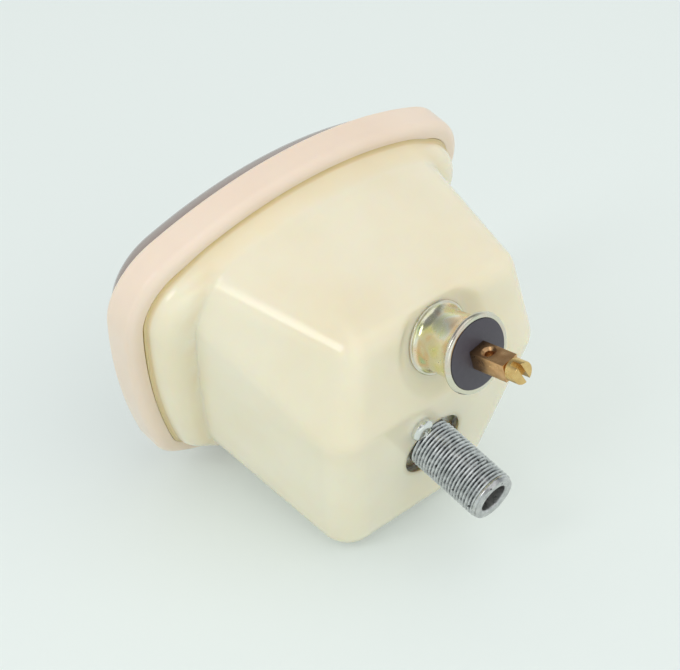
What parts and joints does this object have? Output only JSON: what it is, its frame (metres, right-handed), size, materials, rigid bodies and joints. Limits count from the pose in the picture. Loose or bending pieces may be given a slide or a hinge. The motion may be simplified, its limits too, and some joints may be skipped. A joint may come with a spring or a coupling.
{
  "type": "scooter speedometer",
  "caption": "Speedometer head in a tapering cream housing with a fan-shaped bezel, domed lens, lamp socket and threaded cable nipple.",
  "frame": {"origin": "on the spindle axis, in the plane of the bezel's rear face, which seats on the scooter's headset", "axes": "+Y rearward along the spindle and the cable nipple, so the dial faces -Y; +Z towards twelve o'clock, the wide edge of the face; +X across the face; mirror plane x = 0 for the outside"},
  "size_m": [0.1008, 0.0859, 0.0853],
  "materials": {
    "cream_plastic": "glossy moulded urea, faintly translucent",
    "blush_plastic": "glossy moulded, faintly pink",
    "clear_plastic": "clear acrylic, polished",
    "black_rubber": "matt",
    "dial_paint": "satin charcoal enamel",
    "screw_steel": "dull zinc plated",
    "shaft_steel": "ground",
    "die_cast_zinc": "matt as cast",
    "bush_brass": "turned",
    "terminal_brass": "lightly tarnished",
    "magnet_ferrite": "sintered, matt",
    "cup_aluminium": "spun",
    "needle_paint": "satin orange enamel",
    "black_plastic": "matt",
    "gear_plastic": "natural nylon",
    "drum_plastic": "satin",
    "zinc_passivated": "yellow passivated, satin",
    "bulb_glass": "clear"
  },
  "bodies": {
    "case": {"housing": "cream_plastic", "bezel": "blush_plastic", "lens": "clear_plastic", "lens_gasket": "black_rubber", "dial_plate": "dial_paint", "dial_screws": "screw_steel", "movement_frame": "die_cast_zinc", "cable_nipple": "die_cast_zinc", "housing_screws": "screw_steel", "spindle_bush": "bush_brass", "field_ring": "shaft_steel", "hairspring": "bush_brass", "bridge": "bush_brass", "bridge_screws": "screw_steel", "stop_pins": "shaft_steel", "drum_axle": "shaft_steel", "carry_shaft": "shaft_steel", "lamp_shell": "zinc_passivated", "lamp_insulator": "black_plastic", "lamp_terminal": "terminal_brass", "terminal_screw": "terminal_brass", "bulb_base": "terminal_brass", "bulb_glass": "bulb_glass"},
    "drive_spindle": {"spindle": "shaft_steel", "magnet": "magnet_ferrite"},
    "cross_drive": {"cross_shaft": "shaft_steel", "cross_wheel": "gear_plastic"},
    "needle_group": {"needle": "needle_paint", "needle_cap": "black_plastic", "needle_arbor": "shaft_steel", "drag_cup": "cup_aluminium"},
    "drum_units": {"number_drum_1": "drum_plastic", "drive_wheel": "gear_plastic"},
    "drum_tens": {"number_drum_2": "drum_plastic"},
    "pinion_1": {"carry_pinion_1": "gear_plastic"},
    "drum_hundreds": {"number_drum_3": "drum_plastic"},
    "pinion_2": {"carry_pinion_2": "gear_plastic"},
    "drum_thousands": {"number_drum_4": "drum_plastic"},
    "pinion_3": {"carry_pinion_3": "gear_plastic"},
    "drum_ten_thousands": {"number_drum_5": "drum_plastic"},
    "pinion_4": {"carry_pinion_4": "gear_plastic"}
  },
  "joints": [
    {"name": "spindle_spin", "type": "hinge", "parent": "case", "child": "drive_spindle", "pos_m": [0, 0.043, 0], "axis": [0, 1, 0], "continuous": true},
    {"name": "cross_spin", "type": "hinge", "parent": "case", "child": "cross_drive", "pos_m": [0.0123, 0.019, 0], "axis": [0, 0, 1], "continuous": true},
    {"name": "needle_sweep", "type": "hinge", "parent": "case", "child": "needle_group", "pos_m": [0, 0, 0], "axis": [0, 1, 0], "range_deg": [0, 210], "stiffness_Nm_per_rad": 0.00002, "deforming": ["hairspring"]},
    {"name": "units_spin", "type": "hinge", "parent": "case", "child": "drum_units", "pos_m": [0, 0.008, -0.0185], "axis": [1, 0, 0], "continuous": true},
    {"name": "tens_spin", "type": "hinge", "parent": "case", "child": "drum_tens", "pos_m": [0, 0.008, -0.0185], "axis": [1, 0, 0], "continuous": true},
    {"name": "hundreds_spin", "type": "hinge", "parent": "case", "child": "drum_hundreds", "pos_m": [0, 0.008, -0.0185], "axis": [1, 0, 0], "continuous": true},
    {"name": "thousands_spin", "type": "hinge", "parent": "case", "child": "drum_thousands", "pos_m": [0, 0.008, -0.0185], "axis": [1, 0, 0], "continuous": true},
    {"name": "ten_thousands_spin", "type": "hinge", "parent": "case", "child": "drum_ten_thousands", "pos_m": [0, 0.008, -0.0185], "axis": [1, 0, 0], "continuous": true},
    {"name": "pinion_1_spin", "type": "hinge", "parent": "case", "child": "pinion_1", "pos_m": [0, 0.01436, -0.01214], "axis": [1, 0, 0], "continuous": true},
    {"name": "pinion_2_spin", "type": "hinge", "parent": "case", "child": "pinion_2", "pos_m": [0, 0.01436, -0.01214], "axis": [1, 0, 0], "continuous": true},
    {"name": "pinion_3_spin", "type": "hinge", "parent": "case", "child": "pinion_3", "pos_m": [0, 0.01436, -0.01214], "axis": [1, 0, 0], "continuous": true},
    {"name": "pinion_4_spin", "type": "hinge", "parent": "case", "child": "pinion_4", "pos_m": [0, 0.01436, -0.01214], "axis": [1, 0, 0], "continuous": true}
  ],
  "couplings": [
    {"joint": "cross_spin", "follows": "spindle_spin", "ratio": 0.04},
    {"joint": "units_spin", "follows": "spindle_spin", "ratio": -0.001},
    {"joint": "tens_spin", "follows": "spindle_spin", "ratio": -0.0001},
    {"joint": "hundreds_spin", "follows": "spindle_spin", "ratio": -0.00001},
    {"joint": "thousands_spin", "follows": "spindle_spin", "ratio": -0.000001},
    {"joint": "ten_thousands_spin", "follows": "spindle_spin", "ratio": -0.0000001},
    {"joint": "pinion_1_spin", "follows": "spindle_spin", "ratio": 0.0002},
    {"joint": "pinion_2_spin", "follows": "spindle_spin", "ratio": 0.00002},
    {"joint": "pinion_3_spin", "follows": "spindle_spin", "ratio": 0.000002},
    {"joint": "pinion_4_spin", "follows": "spindle_spin", "ratio": 0.0000002}
  ]
}
